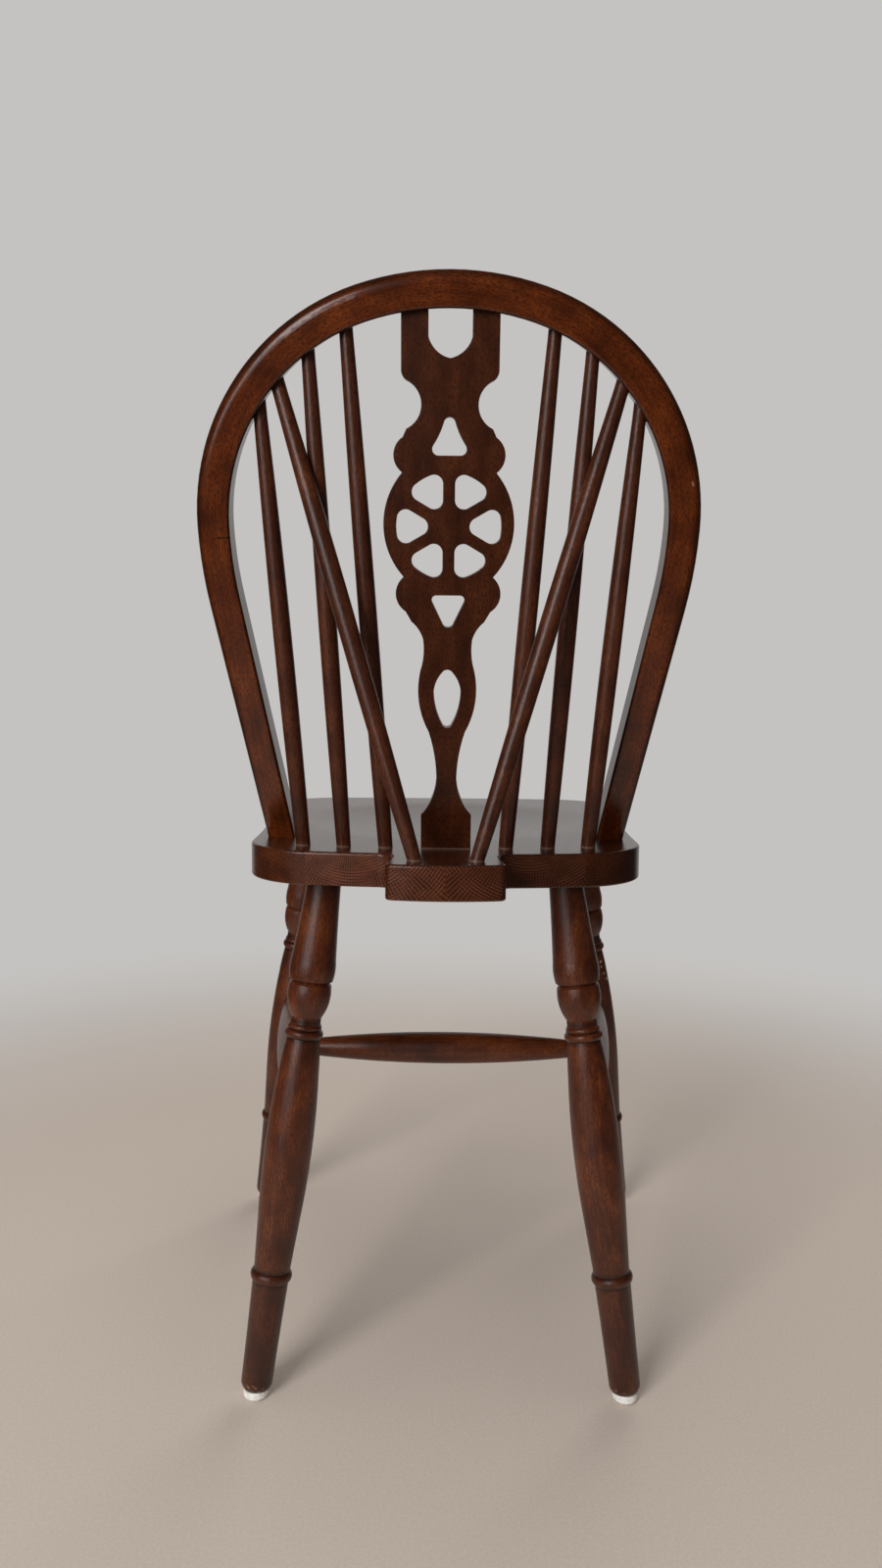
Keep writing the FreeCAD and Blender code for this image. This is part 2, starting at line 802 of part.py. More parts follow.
def stick(name, kind, side, thickness):
    """One stick from the seat or tail to the inside of the bow, with its two sockets."""
    foot = V(side * amount(kind + "_foot_out"), amount("rear_edge - %s_foot_in" % kind), amount("seat_top"))
    top = bow_point(side * amount(kind + "_top_out"), amount(kind + "_top_up"), amount("bow_deep") / 2)
    run = top - foot
    if side == 1:
        note(kind + "_far", run.Length)
        note(kind + "_half_run", run.Length / 2)
        note(kind + "_fit_run", run.Length - amount("stick_fit_run"))
        note(kind + "_end", run.Length + amount("stick_bow_tenon"))
    body = turned(
        name,
        [("zero", "stick_run_start"),
         (thickness + "_foot_half", "stick_run_start"),
         (thickness + "_foot_half", "zero"),
         (thickness + "_top_half", kind + "_fit_run"),
         (thickness + "_top_half", kind + "_end"),
         ("zero", kind + "_end")],
        {2: (thickness + "_mid_half", kind + "_half_run")})
    sign = "" if side == 1 else "- "
    move_to(body, (sign + kind + "_foot_out", "rear_edge - " + kind + "_foot_in", "seat_top"), along(run))
    keep(name, body)
    run.normalize()
    seat_sockets.append(rod(name + "_seat_socket", foot - run * amount("stick_seat_tenon + fit"), run,
                            thickness + "_foot_half + fit", "stick_seat_tenon + stick_seat_tenon"))
    bow_holes.append(rod(name + "_bow_socket", top - run * amount("stick_fit_run"), run,
                         thickness + "_top_half + fit",
                         "stick_fit_run + stick_bow_tenon + fit"))


for side_name, side in SIDES:
    for kind in ("inner", "middle", "outer"):
        stick("spindle_%s_%s" % (kind, side_name), kind, side, "stick")
    stick("brace_" + side_name, "brace", side, "brace")


# Splat: half of the board with its openings, mirrored, then leaned back

splat_body = doc.addObject("PartDesign::Body", "splat_board")
splat_sketch = new_sketch(splat_body, "splat_outline", "XY_Plane")
outline(
    splat_sketch,
    [("zero", "zero - splat_foot_below"),
     ("splat_foot_half", "zero - splat_foot_below"),
     ("splat_foot_half", "splat_foot_up"),
     ("splat_neck_half", "splat_neck_up"),
     ("splat_hip_half", "splat_hip_up"),
     ("splat_fall_half", "splat_fall_up"),
     ("splat_throat_half", "splat_throat_up"),
     ("splat_flute_half", "splat_flute_up"),
     ("splat_nick_half", "splat_nick_up"),
     ("splat_cusp_half", "splat_cusp_up"),
     ("splat_high_cusp_half", "splat_high_cusp_up"),
     ("splat_high_nick_half", "splat_high_nick_up"),
     ("splat_sweep_half", "splat_sweep_up"),
     ("splat_ear_half", "splat_ear_up"),
     ("splat_prong_half", "splat_prong_up"),
     ("splat_prong_half", "splat_top_up"),
     ("splat_gap_half", "splat_top_up"),
     ("splat_gap_half", "splat_gap_up"),
     ("zero", "splat_gap_tip_up")],
    {2: ("splat_flare_half", "splat_flare_up"),
     3: ("splat_rise_half", "splat_rise_up"),
     4: ("splat_swell_half", "splat_swell_up"),
     5: ("splat_waist_half", "splat_waist_up"),
     6: ("splat_throat_via_half", "splat_throat_via_up"),
     8: ("splat_lobe_half", "splat_lobe_up"),
     9: ("wheel_half", "wheel_up"),
     10: ("splat_high_lobe_half", "splat_high_lobe_up"),
     12: ("splat_high_waist_half", "splat_high_waist_up"),
     13: ("splat_ear_via_half", "splat_ear_via_up"),
     17: ("splat_gap_via_half", "splat_gap_via_up")})
splat_pad = splat_body.newObject("PartDesign::Pad", "splat_pad")
splat_pad.Profile = splat_sketch
splat_pad.setExpression("Length", formula("splat_thick"))
doc.recompute()


def wheel_mark(name, radius, degrees):
    """Notes a place on the wheel by its distance from the hub and its angle."""
    note(name + "_out", radius * math.cos(math.radians(degrees)))
    note(name + "_up", amount("wheel_up") + radius * math.sin(math.radians(degrees)))
    return name + "_out", name + "_up"


def wheel_opening(sketch, tag, degrees):
    """One opening between two spokes: two straight sides and an arc inside the rim."""
    spoke = amount("spoke_half")
    reach = amount("opening_reach")
    half_step = spoke_step / 2
    inner = spoke / math.sin(math.radians(half_step))
    swing = half_step - math.degrees(math.asin(spoke / reach))
    outline(
        sketch,
        [wheel_mark(tag + "_hub", inner, degrees),
         wheel_mark(tag + "_low", reach, degrees - swing),
         wheel_mark(tag + "_high", reach, degrees + swing)],
        {1: wheel_mark(tag + "_rim", reach, degrees)})


spoke_step = 360 / amount("wheel_spokes")
splat_openings = new_sketch(splat_body, "splat_openings", "XY_Plane")
for tag, steps in (("open_low", -1), ("open_side", 0), ("open_high", 1)):
    wheel_opening(splat_openings, tag, steps * spoke_step)
outline(splat_openings,
        [("zero", "upper_hole_up"),
         ("upper_flat_half", "upper_hole_up"),
         ("upper_corner_half", "upper_hole_up + upper_corner_high"),
         ("upper_side_half", "upper_hole_up + upper_side_high"),
         ("zero", "upper_hole_up + upper_tip_high")],
        {1: ("upper_corner_via_half", "upper_hole_up + upper_corner_via_high"),
         2: ("upper_side_via_half", "upper_hole_up + upper_side_via_high"),
         3: ("upper_tip_via_half", "upper_hole_up + upper_tip_via_high")})
outline(splat_openings,
        [("zero", "lower_hole_up - lower_tip_deep"),
         ("lower_side_half", "lower_hole_up - lower_side_deep"),
         ("lower_corner_half", "lower_hole_up - lower_corner_deep"),
         ("lower_flat_half", "lower_hole_up"),
         ("zero", "lower_hole_up")],
        {0: ("lower_tip_via_half", "lower_hole_up - lower_tip_via_deep"),
         2: ("lower_corner_via_half", "lower_hole_up - lower_corner_via_deep")})
outline(splat_openings,
        [("zero", "drop_top_up - drop_tip_deep"),
         ("drop_low_half", "drop_top_up - drop_low_deep"),
         ("drop_half", "drop_top_up - drop_widest_deep"),
         ("drop_crest_half", "drop_top_up - drop_crest_deep"),
         ("zero", "drop_top_up")],
        {0: ("drop_tip_via_half", "drop_top_up - drop_tip_via_deep"),
         1: ("drop_low_via_half", "drop_top_up - drop_low_via_deep"),
         2: ("drop_high_via_half", "drop_top_up - drop_high_via_deep"),
         3: ("drop_crest_via_half", "drop_top_up - drop_crest_via_deep")})
splat_pocket = splat_body.newObject("PartDesign::Pocket", "splat_pocket")
splat_pocket.Profile = splat_openings
splat_pocket.Type = "ThroughAll"
splat_pocket.Midplane = True
doc.recompute()
if splat_pocket.Shape.Volume >= splat_pad.Shape.Volume:
    raise SystemExit("the splat's openings are not cut")
splat_whole = mirrored(splat_body, [splat_pad, splat_pocket])


def across_board(shape, test):
    """Edges that run through the board's thickness at places that pass the test."""
    names = []
    for i, edge in enumerate(shape.Edges, 1):
        box = edge.BoundBox
        if box.ZLength > amount("splat_thick") - HAIR and box.XLength < HAIR and test(box.Center):
            names.append("Edge%d" % i)
    return names


def in_wheel(p):
    """Whether an upright edge belongs to a wheel opening."""
    reach = math.hypot(p.x, p.y - amount("wheel_up"))
    return reach < amount("opening_reach") + HAIR


rounded(splat_body, splat_whole, across_board(splat_whole.Shape, in_wheel), "opening_round")
splat_turn = FreeCAD.Rotation(V(1, 0, 0), 90 - amount("splat_lean"))
move_to(splat_body, ("zero", "rear_edge - splat_in", "seat_top"), splat_turn)
keep("splat", splat_body)


def splat_slot(name, left, right, low, high):
    """A straight slot that takes an end of the board, with clearance all round."""
    box = doc.addObject("Part::Box", name)
    box.setExpression("Length", formula(right) + " - (" + formula(left) + ") + 2 * Sizes.fit")
    box.setExpression("Width", formula(high) + " - (" + formula(low) + ") + Sizes.fit")
    box.setExpression("Height", "Sizes.splat_thick + 2 * Sizes.fit")
    corner = V(amount(left) - amount("fit"), amount(low), -amount("fit"))
    foot = V(0, amount("rear_edge - splat_in"), amount("seat_top"))
    box.Placement = FreeCAD.Placement(foot + splat_turn.multVec(corner), splat_turn)
    return box


seat_sockets.append(splat_slot("splat_seat_slot", "zero - splat_foot_half", "splat_foot_half",
                               "zero - splat_foot_below - fit", "splat_foot_below"))
bow_holes.append(splat_slot("splat_bow_slot_left", "splat_gap_half", "splat_prong_half",
                            "splat_gap_up", "splat_top_up"))
bow_holes.append(splat_slot("splat_bow_slot_right", "zero - splat_prong_half", "zero - splat_gap_half",
                            "splat_gap_up", "splat_top_up"))
keep("bow", cut("bow", bow_solid, joined("bow_sockets", bow_holes)))


# Seat: one glued-up slab with a rounded edge, a shallow dish and a tail, then parted at its glue joints


def meet(centre_a, reach_a, centre_b, reach_b, guess):
    """Where two circles cross, on the side nearest the guess."""
    apart = centre_b - centre_a
    share = (reach_a ** 2 - reach_b ** 2 + apart.Length ** 2) / (2 * apart.Length)
    rise = math.sqrt(reach_a ** 2 - share ** 2)
    apart.normalize()
    foot = centre_a + apart * share
    sideways = V(-apart.y, apart.x, 0) * rise
    return min((foot + sideways, foot - sideways), key=lambda p: p.distanceToPoint(guess))


def toward(centre, target, reach):
    """The point at a distance from a centre in the direction of a target."""
    step = target - centre
    step.normalize()
    return centre + step * reach


def across_side(centre_a, centre_b, reaches):
    """The direction square to a straight side that touches two circles on opposite sides."""
    run = centre_b - centre_a
    swing = math.acos(-reaches / run.Length)
    heading = math.atan2(run.y, run.x)
    return max((V(math.cos(heading + turn), math.sin(heading + turn), 0) for turn in (swing, -swing)),
               key=lambda direction: direction.x)


def seat_mark(name, point):
    """Notes a point of the seat's outline, measured back from the dish's middle."""
    note("seat_" + name + "_x", point.x)
    note("seat_" + name + "_y", amount("dish_in") - point.y)
    return "seat_" + name + "_x", "seat_" + name + "_y"


def halfway(name, centre, start, end):
    """Notes the middle of the arc about a centre from start to end."""
    reach = (start - centre).Length
    return seat_mark(name, toward(centre, (start + end) * 0.5, reach))


front_bend = amount("seat_front_bend")
toe_bend = amount("seat_toe_bend")
side_bend = amount("seat_side_bend")
heel_bend = amount("seat_heel_bend")
back_bend = amount("seat_back_bend")
tail_bend = amount("tail_back_bend")
tail_half = amount("tail_half")
fillet = amount("tail_fillet")
corner = amount("tail_corner")
front_centre = V(0, amount("seat_front_in") - front_bend, 0)
side_centre = V(amount("seat_waist_out") + side_bend, amount("seat_waist_in"), 0)
back_centre = V(0, back_bend, 0)
tail_centre = V(0, amount("tail_end_in") + tail_bend, 0)
toe_centre = meet(front_centre, front_bend - toe_bend, side_centre, side_bend + toe_bend,
                  V(amount("seat_waist_out"), amount("seat_front_in"), 0))
heel_centre = meet(back_centre, back_bend - heel_bend, side_centre, side_bend + heel_bend,
                   V(amount("seat_waist_out"), 0, 0))
root_out = amount("tail_neck_half") + fillet
root_centre = V(root_out, back_bend - math.sqrt((back_bend + fillet) ** 2 - root_out ** 2), 0)
corner_out = tail_half - corner
corner_centre = V(corner_out,
                  tail_centre.y - math.sqrt((tail_bend - corner) ** 2 - corner_out ** 2), 0)
front_middle = V(0, amount("seat_front_in"), 0)
toe_start = toward(front_centre, toe_centre, front_bend)
toe_end = toward(side_centre, toe_centre, side_bend)
hip = toward(side_centre, heel_centre, side_bend)
heel_end = toward(back_centre, heel_centre, back_bend)
root = toward(back_centre, root_centre, back_bend)
flare = across_side(root_centre, corner_centre, fillet + corner)
neck = root_centre - flare * fillet
tail_side = corner_centre + flare * corner
tail_turn = toward(tail_centre, corner_centre, tail_bend)
tail_middle = V(0, amount("tail_end_in"), 0)

seat_body = doc.addObject("PartDesign::Body", "seat_slab")
seat_sketch = new_sketch(seat_body, "seat_outline", "XY_Plane")
outline(
    seat_sketch,
    [seat_mark("front", front_middle),
     seat_mark("toe_start", toe_start),
     seat_mark("toe_end", toe_end),
     seat_mark("hip", hip),
     seat_mark("heel_end", heel_end),
     seat_mark("root", root),
     seat_mark("neck", neck),
     seat_mark("tail_side", tail_side),
     seat_mark("tail_turn", tail_turn),
     seat_mark("tail_middle", tail_middle)],
    {0: halfway("front_via", front_centre, front_middle, toe_start),
     1: halfway("toe_via", toe_centre, toe_start, toe_end),
     2: halfway("side_via", side_centre, toe_end, hip),
     3: halfway("heel_via", heel_centre, hip, heel_end),
     4: halfway("back_via", back_centre, heel_end, root),
     5: halfway("root_via", root_centre, root, neck),
     7: halfway("corner_via", corner_centre, tail_side, tail_turn),
     8: halfway("tail_via", tail_centre, tail_turn, tail_middle)})
seat_pad = seat_body.newObject("PartDesign::Pad", "seat_pad")
seat_pad.Profile = seat_sketch
seat_pad.setExpression("Length", formula("seat_thick"))
doc.recompute()
seat_whole = mirrored(seat_body, [seat_pad])
thick = amount("seat_thick")
seat_eased = rounded(seat_body, seat_whole,
                     edges_where(seat_whole.Shape, lambda p: p.z > thick - HAIR), "seat_top_round")
seat_soft = rounded(seat_body, seat_eased,
                    edges_where(seat_eased.Shape, lambda p: p.z < HAIR), "seat_under_round")

dish_bend = (amount("dish_bowl_half") ** 2 / 2
             + amount("dish_bowl_half") * (amount("dish_half") - amount("dish_bowl_half")) / 2) \
    / amount("dish_deep")
lip = amount("dish_half") - amount("dish_bowl_half")
lip_rise = lip * amount("dish_bowl_half") / dish_bend / 2
note("dish_bowl_via_half", amount("dish_bowl_half") / 2)
note("dish_floor_up", thick - amount("dish_deep"))
note("dish_bowl_via_up", thick - amount("dish_deep") + (amount("dish_bowl_half") / 2) ** 2 / 2 / dish_bend)
note("dish_bowl_up", thick - lip_rise)
note("dish_lip_via_half", amount("dish_half") - lip / 2)
note("dish_lip_via_up", thick - lip_rise / 4)
dish_sketch = new_sketch(seat_body, "dish_profile", "XZ_Plane")
outline(
    dish_sketch,
    [("zero", "dish_floor_up"),
     ("dish_bowl_half", "dish_bowl_up"),
     ("dish_half", "seat_thick"),
     ("dish_half", "seat_thick + dish_deep"),
     ("zero", "seat_thick + dish_deep")],
    {0: ("dish_bowl_via_half", "dish_bowl_via_up"),
     1: ("dish_lip_via_half", "dish_lip_via_up")})
dish = seat_body.newObject("PartDesign::Groove", "dish")
dish.Profile = dish_sketch
dish.ReferenceAxis = (dish_sketch, ["V_Axis"])
dish.Angle = 360
seat_body.Tip = dish
doc.recompute()
if dish.Shape.Volume >= seat_soft.Shape.Volume:
    raise SystemExit("the seat's dish is not cut")
move_to(seat_body, ("zero", "rear_edge - dish_in", "seat_top - seat_thick"), FreeCAD.Rotation())

drilled = cut("seat_drilled", seat_body, joined("seat_sockets", seat_sockets))
boards = (
    ("seat_board_outer_left", "board_joint_out", "board_reach"),
    ("seat_board_inner_left", "zero", "board_joint_out"),
    ("seat_board_inner_right", "zero - board_joint_out", "zero"),
    ("seat_board_outer_right", "zero - board_reach", "zero - board_joint_out"),
)
for name, low, high in boards:
    strip = doc.addObject("Part::Box", name + "_strip")
    strip.setExpression("Length", formula(high) + " - (" + formula(low) + ")")
    strip.setExpression("Width", formula("board_reach + board_reach"))
    strip.setExpression("Height", formula("seat_thick + seat_thick"))
    move_to(strip, (low, "zero - board_reach", "seat_top - seat_thick - dish_deep"), FreeCAD.Rotation())
    board = doc.addObject("Part::Common", name)
    board.Base = drilled
    board.Tool = strip
    doc.recompute()
    keep(name, board)


# Check and write

doc.recompute()
failed = [o.Name for o in doc.Objects if "Invalid" in o.State or "Error" in o.State]
if failed:
    raise SystemExit("these objects failed: " + ", ".join(failed))
for label, piece in pieces.items():
    if piece.Shape.isNull() or not piece.Shape.isValid():
        raise SystemExit("the shape of " + label + " is not valid")
for label, piece in sorted(pieces.items()):
    piece.Shape.exportStep("parts/" + label + ".step")
    print("%-26s solids %d volume %9.0f" % (label, len(piece.Shape.Solids), piece.Shape.Volume))
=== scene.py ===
import math

import bpy
from mathutils import Euler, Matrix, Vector


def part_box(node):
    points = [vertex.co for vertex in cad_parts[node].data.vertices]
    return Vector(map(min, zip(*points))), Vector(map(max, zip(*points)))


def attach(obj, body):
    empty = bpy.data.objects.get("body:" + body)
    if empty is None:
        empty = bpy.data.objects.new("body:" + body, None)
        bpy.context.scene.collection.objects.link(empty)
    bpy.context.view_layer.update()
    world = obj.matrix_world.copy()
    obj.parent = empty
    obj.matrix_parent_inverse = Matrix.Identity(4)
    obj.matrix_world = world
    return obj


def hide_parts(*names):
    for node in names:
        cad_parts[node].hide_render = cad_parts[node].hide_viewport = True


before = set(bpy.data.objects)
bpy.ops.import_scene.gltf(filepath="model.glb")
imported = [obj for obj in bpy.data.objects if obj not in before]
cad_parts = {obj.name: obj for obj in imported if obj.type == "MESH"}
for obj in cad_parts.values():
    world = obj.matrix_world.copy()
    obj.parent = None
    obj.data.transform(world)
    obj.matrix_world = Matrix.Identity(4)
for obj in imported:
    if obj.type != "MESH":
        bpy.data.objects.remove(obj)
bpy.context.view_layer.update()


# Seat boards
# Four flat-sawn beech boards, glued edge to edge and sawn to the outline with a tail at the back.
# Their grain runs from front to back, so the rear edge is end grain. Stained dark orange-brown and
# lacquered to a satin gloss that mirrors the room at a shallow angle.


def linear(code):
    """The linear colour of an sRGB hex code."""
    parts = [int(code[i:i + 2], 16) / 255 for i in (1, 3, 5)]
    light = [p / 12.92 if p <= 0.04045 else ((p + 0.055) / 1.055) ** 2.4 for p in parts]
    return (*light, 1.0)


def add(tree, kind, inputs, stops=(), **settings):
    """Adds a node with its settings; an input is a number, a colour or another node's output."""
    made = tree.nodes.new(kind)
    for word, setting in settings.items():
        setattr(made, word, setting)
    for key, given in inputs.items():
        if isinstance(given, bpy.types.NodeSocket):
            tree.links.new(given, made.inputs[key])
        else:
            made.inputs[key].default_value = given
    if stops:
        ramp = made.color_ramp.elements
        ramp[0].position, ramp[0].color = stops[0]
        ramp[1].position, ramp[1].color = stops[-1]
        for place, colour in stops[1:-1]:
            ramp.new(place).color = colour
    return made


def blank(name):
    """A new material, its node tree and its shader."""
    material = bpy.data.materials.new(name)
    material.use_nodes = True
    return material, material.node_tree, material.node_tree.nodes["Principled BSDF"]


def piece_coordinates(tree, origin, direction):
    """Places in a piece's own millimetres, with Z along its grain."""
    turn = Vector(direction).to_track_quat("Z", "Y").to_euler()
    here = add(tree, "ShaderNodeTexCoord", {}).outputs["Object"]
    return add(tree, "ShaderNodeMapping",
               {"Vector": here, "Location": origin, "Rotation": turn, "Scale": (0.001, 0.001, 0.001)},
               vector_type="TEXTURE").outputs["Vector"]


def straight(origin, direction):
    """Grain that runs straight through a piece."""
    return lambda tree: piece_coordinates(tree, origin, direction)


def wave_scale(spacing):
    """The wave texture's scale for a spacing: it turns through 20 radians in each unit of its scale."""
    return 2 * math.pi / (20 * spacing)


def stained_beech(name, place, from_pith, tones, gloss, ring, ringed=0.16, streak=0.3, relief=0.16,
                  detail=None):
    """Beech under an orange-brown stain and satin lacquer. Its growth rings are cylinders, a ring apart,
    and from_pith is where the piece's axis lies, seen from their middle, in millimetres. The stain nearly
    hides them. Short dark rays lie along the grain. The lacquer sinks a little into the pores, which
    breaks its highlights into fine specks."""
    material, tree, shader = blank(name)
    where = place(tree)
    dark, middle, light = (linear(tone) for tone in tones)

    # Growth rings, drawn out along the grain so that they wander slowly
    drawn = add(tree, "ShaderNodeMapping",
                {"Vector": where, "Location": (*from_pith, 0.0), "Scale": (1.0, 1.0, 0.05)}).outputs["Vector"]
    rings = add(tree, "ShaderNodeTexWave",
                {"Vector": drawn, "Scale": wave_scale(ring), "Distortion": 5.0,
                 "Detail": 2.0, "Detail Scale": 0.12, "Detail Roughness": 0.5},
                wave_type="RINGS", rings_direction="Z", wave_profile="SAW").outputs["Fac"]

    # Rays: drawn 1 mm wide and 3 mm long, a little coarser than real, so that they show
    streaked = add(tree, "ShaderNodeMapping", {"Vector": where, "Scale": (1.0, 1.0, 0.33)}).outputs["Vector"]
    rays = add(tree, "ShaderNodeTexNoise",
               {"Vector": streaked, "Scale": 1.0, "Detail": 2.0, "Roughness": 0.6}).outputs["Fac"]
    fleck = add(tree, "ShaderNodeMapRange",
                {"Value": rays, "From Min": 0.47, "From Max": 0.62,
                 "To Min": 0.0, "To Max": 0.85}).outputs["Result"]

    # Fibre: fine streaks a millimetre or two wide and a few centimetres long
    fibrous = add(tree, "ShaderNodeMapping", {"Vector": where, "Scale": (0.6, 0.6, 0.035)}).outputs["Vector"]
    fibre = add(tree, "ShaderNodeTexNoise",
                {"Vector": fibrous, "Scale": 1.0, "Detail": 3.0, "Roughness": 0.6}).outputs["Fac"]

    # Stain takes unevenly, in clouds of one to three centimetres
    broad = add(tree, "ShaderNodeMapping", {"Vector": where, "Scale": (0.06, 0.06, 0.03)}).outputs["Vector"]
    uneven = add(tree, "ShaderNodeTexNoise",
                 {"Vector": broad, "Scale": 1.0, "Detail": 3.0, "Roughness": 0.55}).outputs["Fac"]

    # The three together make the tone, and the rays lie over it
    tone = add(tree, "ShaderNodeMath", {0: fibre, 1: streak, 2: uneven}, operation="MULTIPLY_ADD").outputs[0]
    tone = add(tree, "ShaderNodeMath", {0: rings, 1: ringed, 2: tone}, operation="MULTIPLY_ADD").outputs[0]
    mean = (1.0 + streak + ringed) / 2
    spread = 0.24
    share = add(tree, "ShaderNodeMapRange",
                {"Value": tone, "From Min": mean - spread, "From Max": mean + spread,
                 "To Min": 0.0, "To Max": 1.0}).outputs["Result"]
    colour = add(tree, "ShaderNodeValToRGB", {"Fac": share},
                 [(0.0, dark), (0.5, middle), (1.0, light)]).outputs["Color"]
    colour = add(tree, "ShaderNodeMix", {"Factor": fleck, 6: colour, 7: dark}, data_type="RGBA").outputs[2]
    if detail:
        colour = detail(tree, where, colour)

    # Lacquer: a little duller over the rays, and sunk into them and into the pores. The pores are drawn
    # 1 mm wide and 2 mm long, coarser than real, so that they show
    rough = add(tree, "ShaderNodeMapRange",
                {"Value": rays, "From Min": 0.35, "From Max": 0.7,
                 "To Min": gloss - 0.01, "To Max": gloss + 0.04}).outputs["Result"]
    pores = add(tree, "ShaderNodeMapping", {"Vector": where, "Scale": (0.9, 0.9, 0.5)}).outputs["Vector"]
    open_pores = add(tree, "ShaderNodeTexNoise",
                     {"Vector": pores, "Scale": 1.0, "Detail": 3.0, "Roughness": 0.7}).outputs["Fac"]
    sunk = add(tree, "ShaderNodeMath", {0: fleck, 1: -0.35, 2: open_pores},
               operation="MULTIPLY_ADD").outputs[0]
    bump = add(tree, "ShaderNodeBump",
               {"Height": sunk, "Strength": relief, "Distance": 0.0006}).outputs["Normal"]

    tree.links.new(colour, shader.inputs["Base Color"])
    tree.links.new(rough, shader.inputs["Roughness"])
    tree.links.new(bump, shader.inputs["Normal"])
    shader.inputs["IOR"].default_value = 1.5
    return material


def dress(node, material):
    """Gives a piece its finish."""
    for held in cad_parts[node].material_slots:
        held.material = material


end_ring_spacing = 2.2
end_ray_spacing = 1.9
seat_right_shade = "#1a0903"


def end_grain(centre, pale, ringed, rayed):
    """Where a board's end shows: ring lines about a centre, in millimetres from the board's axis, and
    rays across them, in clouds. The lines are drawn about 2 mm apart, a little coarser than real, so that
    they show. Over the whole seat, painted shade darkens it toward the sitter's right."""

    def detail(tree, where, colour):
        # How squarely the surface faces back or front
        seen = add(tree, "ShaderNodeTexCoord", {})
        facing = add(tree, "ShaderNodeSeparateXYZ", {"Vector": seen.outputs["Normal"]}).outputs["Y"]
        square = add(tree, "ShaderNodeMath", {0: facing}, operation="ABSOLUTE").outputs[0]
        end = add(tree, "ShaderNodeMapRange",
                  {"Value": square, "From Min": 0.55, "From Max": 0.9,
                   "To Min": 0.0, "To Max": 1.0}).outputs["Result"]

        # Rings round the centre, and rays that fan out from it
        about = add(tree, "ShaderNodeMapping",
                    {"Vector": where, "Location": (-centre[0], -centre[1], 0.0),
                     "Scale": (1.0, 1.0, 0.0)}).outputs["Vector"]
        rings = add(tree, "ShaderNodeTexWave",
                    {"Vector": about, "Scale": wave_scale(end_ring_spacing), "Distortion": 1.6,
                     "Detail": 2.0, "Detail Scale": 0.3, "Detail Roughness": 0.6},
                    wave_type="RINGS", rings_direction="Z", wave_profile="SIN").outputs["Fac"]
        split = add(tree, "ShaderNodeSeparateXYZ", {"Vector": about})
        angle = add(tree, "ShaderNodeMath", {0: split.outputs["Y"], 1: split.outputs["X"]},
                    operation="ARCTAN2").outputs[0]
        fan = add(tree, "ShaderNodeMath", {0: angle, 1: math.hypot(*centre) * 2 * math.pi / end_ray_spacing},
                  operation="MULTIPLY").outputs[0]
        rays = add(tree, "ShaderNodeMath", {0: fan}, operation="SINE").outputs[0]

        # Clouds of 12 to 20 mm: rays show in some and rings in the others
        patch = add(tree, "ShaderNodeMapping",
                    {"Vector": where, "Scale": (0.05, 0.08, 0.0)}).outputs["Vector"]
        clouds = add(tree, "ShaderNodeTexNoise",
                     {"Vector": patch, "Scale": 1.0, "Detail": 2.0, "Roughness": 0.5}).outputs["Fac"]
        patchy = add(tree, "ShaderNodeMapRange",
                     {"Value": clouds, "From Min": 0.35, "From Max": 0.65,
                      "To Min": 0.0, "To Max": 1.0}).outputs["Result"]
        fewer = add(tree, "ShaderNodeMath", {0: 1.0, 1: patchy}, operation="SUBTRACT").outputs[0]
        crossed = add(tree, "ShaderNodeMath", {0: rays, 1: patchy}, operation="MULTIPLY").outputs[0]
        crossed = add(tree, "ShaderNodeMath", {0: crossed, 1: rayed}, operation="MULTIPLY").outputs[0]
        lined = add(tree, "ShaderNodeMath", {0: rings, 1: fewer}, operation="MULTIPLY").outputs[0]
        lines = add(tree, "ShaderNodeMath", {0: lined, 1: ringed, 2: crossed},
                    operation="MULTIPLY_ADD").outputs[0]
        lines = add(tree, "ShaderNodeMath", {0: clouds, 1: 0.35, 2: lines},
                    operation="MULTIPLY_ADD").outputs[0]
        shown = add(tree, "ShaderNodeMapRange",
                    {"Value": lines, "From Min": 0.15, "From Max": 0.85,
                     "To Min": 0.0, "To Max": 0.9}).outputs["Result"]
        amount = add(tree, "ShaderNodeMath", {0: shown, 1: end}, operation="MULTIPLY").outputs[0]
        lit = add(tree, "ShaderNodeMix", {"Factor": amount, 6: colour, 7: linear(pale)},
                  data_type="RGBA").outputs[2]

        # Painted shade: the seat darkens from 35 mm left of the middle to 80 mm right of it
        across = add(tree, "ShaderNodeSeparateXYZ", {"Vector": seen.outputs["Object"]}).outputs["X"]
        shaded_right = add(tree, "ShaderNodeMapRange",
                     {"Value": across, "From Min": 0.035, "From Max": -0.08,
                      "To Min": 0.0, "To Max": 0.55}).outputs["Result"]
        return add(tree, "ShaderNodeMix", {"Factor": shaded_right, 6: lit, 7: linear(seat_right_shade)},
                   data_type="RGBA").outputs[2]

    return detail


